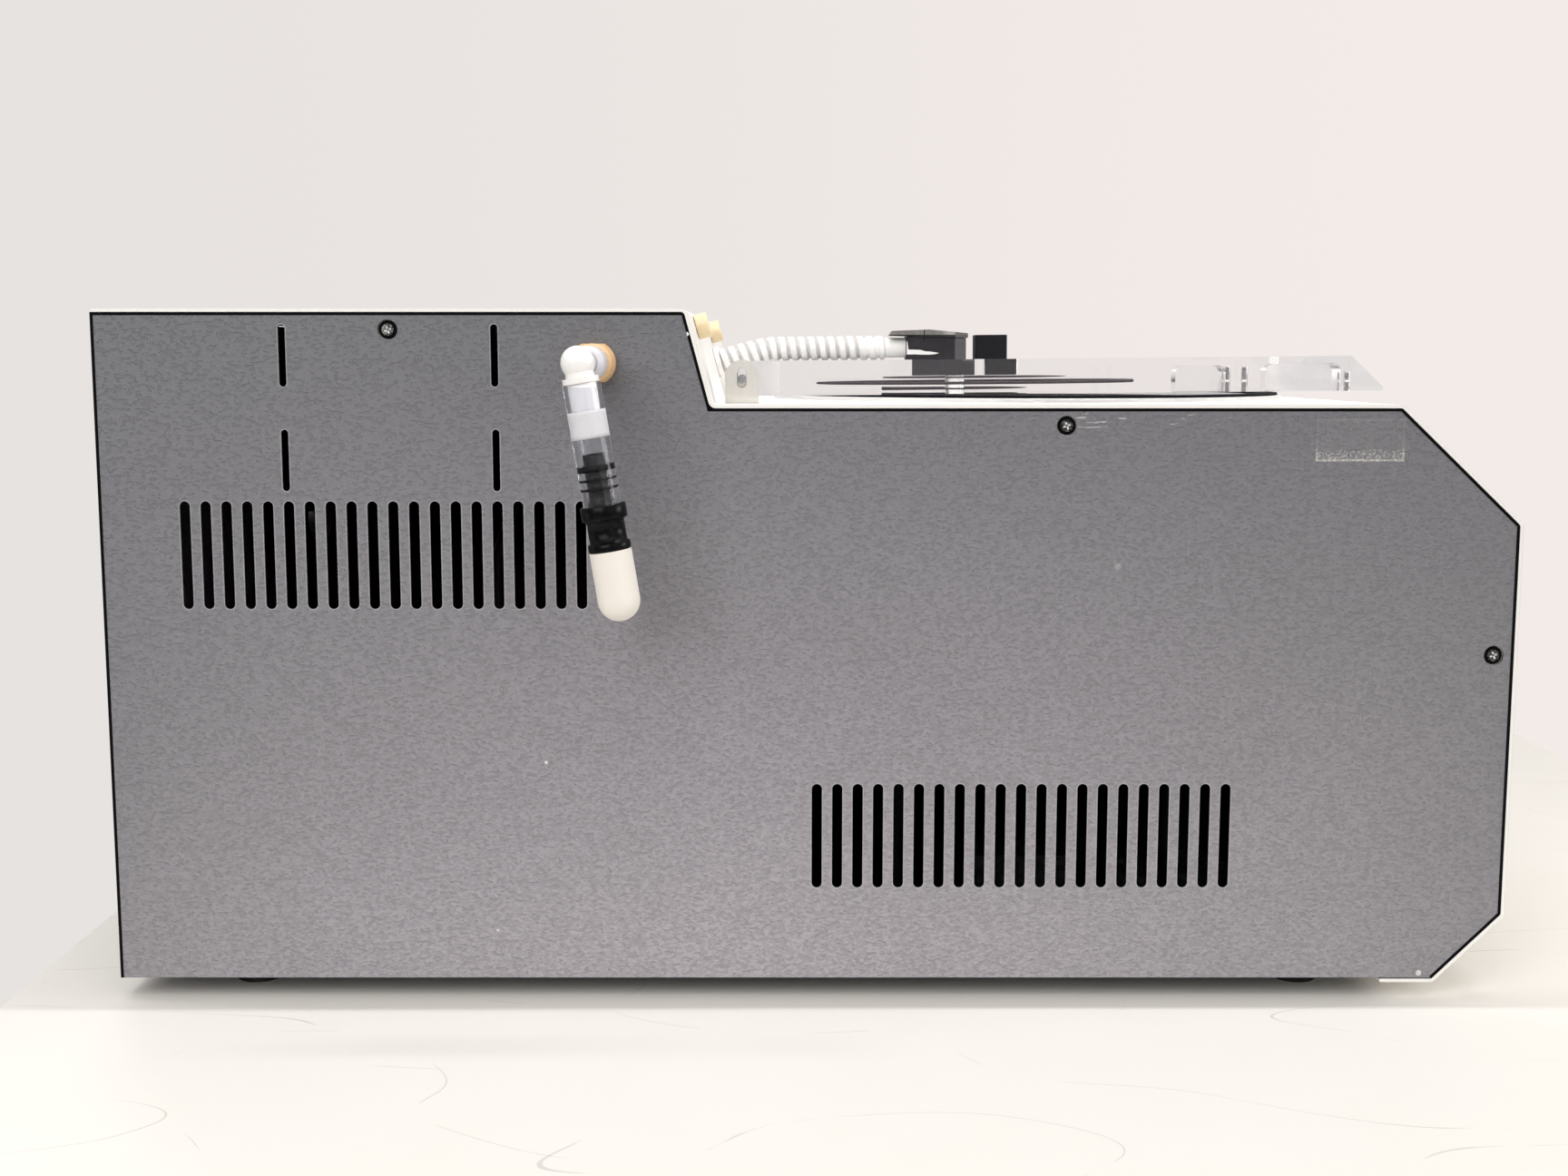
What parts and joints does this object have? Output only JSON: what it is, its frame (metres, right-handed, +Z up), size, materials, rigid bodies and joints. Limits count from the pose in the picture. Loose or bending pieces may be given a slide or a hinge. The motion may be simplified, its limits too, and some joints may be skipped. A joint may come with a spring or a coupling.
{
  "type": "vacuum concentrator",
  "caption": "Benchtop vacuum concentrator with a stepped sheet-metal case, clear hinged chamber lid, spinning tube rotor, ribbed lid hose and a side exhaust port with muffler.",
  "frame": {"origin": "centre of the overall box, exhaust included, on the surface that the feet stand on", "axes": "+X to the instrument's front (low deck and control panel), -Y to the side with the exhaust port, +Z up"},
  "size_m": [0.6546, 0.4214, 0.3223],
  "materials": {
    "cover_paint": "warm white powder coat, satin",
    "panel_paint": "mid grey fine-textured powder coat",
    "zinc_steel": "zinc plated sheet, satin",
    "black_screw": "black oxide",
    "black_rubber": "matte rubber",
    "bowl_coating": "dark non-stick coating",
    "ring_grey": "satin grey anodised",
    "heater_silicone": "silicone rubber sheet",
    "bright_steel": "turned steel",
    "motor_black": "black enamel",
    "rotor_aluminium": "satin anodised aluminium",
    "clear_acrylic": "polished clear acrylic",
    "frosted_plastic": "frosted translucent plastic",
    "hose_clear": "clear soft plastic with a white rib",
    "white_plastic": "white moulded plastic",
    "cream_plastic": "cream moulded plastic",
    "black_plastic": "black moulded plastic",
    "brass_tan": "dull tan brass",
    "washer_grey": "grey fibre washer",
    "white_tape": "white tape",
    "clear_tube": "clear plastic tube",
    "porous_white": "porous sintered plastic",
    "board_green": "circuit board",
    "pump_grey": "cast aluminium",
    "display_dark": "dark display window",
    "bezel_grey": "grey keypad bezel",
    "key_green": "green key",
    "key_red": "red key"
  },
  "bodies": {
    "case": {"base_pan": "zinc_steel", "top_cover": "cover_paint", "left_side_panel": "panel_paint", "right_side_panel": "panel_paint", "rear_panel": "panel_paint", "case_screws": "black_screw", "rubber_feet": "black_rubber", "bay_wall": "zinc_steel", "chamber_bowl": "bowl_coating", "chamber_ring": "ring_grey", "lid_gasket": "black_rubber", "band_heater": "heater_silicone", "bowl_posts": "bright_steel", "motor_housing": "motor_black", "motor_bearings": "bright_steel", "shaft_seal": "black_rubber", "hinge_bracket_left": "frosted_plastic", "hinge_bracket_right": "frosted_plastic", "lid_hose": "hose_clear", "hose_port": "white_plastic", "valve_bodies": "white_plastic", "exhaust_bushing": "brass_tan", "exhaust_rings": "washer_grey", "pump_mounts": "black_rubber", "pump_body": "pump_grey", "pump_heads": "pump_grey", "pump_tubes": "clear_tube", "fan_frame": "black_plastic", "fan_guard": "bright_steel", "power_inlet": "black_plastic", "switch_frame": "black_plastic", "control_bezel": "bezel_grey", "display_window": "display_dark", "key_board": "board_green", "circuit_board": "board_green"},
    "rotor": {"drive_shaft": "bright_steel", "motor_rotor": "bright_steel", "rotor_hub": "rotor_aluminium", "rotor_base_plate": "rotor_aluminium", "tube_plate": "rotor_aluminium", "rotor_spacers": "bright_steel", "rotor_knob": "black_plastic"},
    "lid": {"lid_plate": "clear_acrylic", "lid_screws": "bright_steel", "hinge_pins": "bright_steel", "lid_elbow": "white_plastic", "hose_cuff": "white_plastic", "elbow_boot": "black_rubber", "lid_pull": "black_plastic"},
    "exhaust_outlet": {"exhaust_elbow": "white_plastic", "exhaust_tube": "clear_tube", "tube_band": "white_tape", "muffler_adapter": "black_plastic", "muffler_element": "porous_white"},
    "fan": {"fan_rotor": "black_plastic"},
    "left_knob": {"flow_knob_left": "cream_plastic"},
    "right_knob": {"flow_knob_right": "cream_plastic"},
    "rocker": {"power_rocker": "black_plastic"},
    "start_button": {"start_key": "key_green"},
    "stop_button": {"stop_key": "key_red"}
  },
  "joints": [
    {"name": "lid_hinge", "type": "hinge", "parent": "case", "child": "lid", "pos_m": [-0.0308, 0.02675, 0.2906], "axis": [0, -1, 0], "range_deg": [0, 100], "deforming": ["lid_hose"]},
    {"name": "rotor_spin", "type": "hinge", "parent": "case", "child": "rotor", "pos_m": [0.1211, 0.02675, 0.11], "axis": [0, 0, 1], "continuous": true},
    {"name": "exhaust_swivel", "type": "hinge", "parent": "case", "child": "exhaust_outlet", "pos_m": [-0.0969, -0.15675, 0.298], "axis": [0, -1, 0], "range_deg": [-75, 75]},
    {"name": "fan_spin", "type": "hinge", "parent": "case", "child": "fan", "pos_m": [-0.3105, 0.13075, 0.224], "axis": [1, 0, 0], "continuous": true},
    {"name": "left_knob_turn", "type": "hinge", "parent": "case", "child": "left_knob", "pos_m": [-0.05295, -0.10925, 0.3147], "axis": [0.9659, 0, 0.2588], "range_deg": [-150, 150]},
    {"name": "right_knob_turn", "type": "hinge", "parent": "case", "child": "right_knob", "pos_m": [-0.05295, 0.05075, 0.3147], "axis": [0.9659, 0, 0.2588], "range_deg": [-150, 150]},
    {"name": "power_switch", "type": "hinge", "parent": "case", "child": "rocker", "pos_m": [-0.3205, -0.06925, 0.116], "axis": [0, 0, 1], "range_deg": [0, 16]},
    {"name": "start_press", "type": "slide", "parent": "case", "child": "start_button", "axis": [-0.6887, 0, -0.7251], "range_m": [0, 0.001], "stiffness_N_per_m": 300, "springref_m": -0.0005},
    {"name": "stop_press", "type": "slide", "parent": "case", "child": "stop_button", "axis": [-0.6887, 0, -0.7251], "range_m": [0, 0.001], "stiffness_N_per_m": 300, "springref_m": -0.0005}
  ]
}
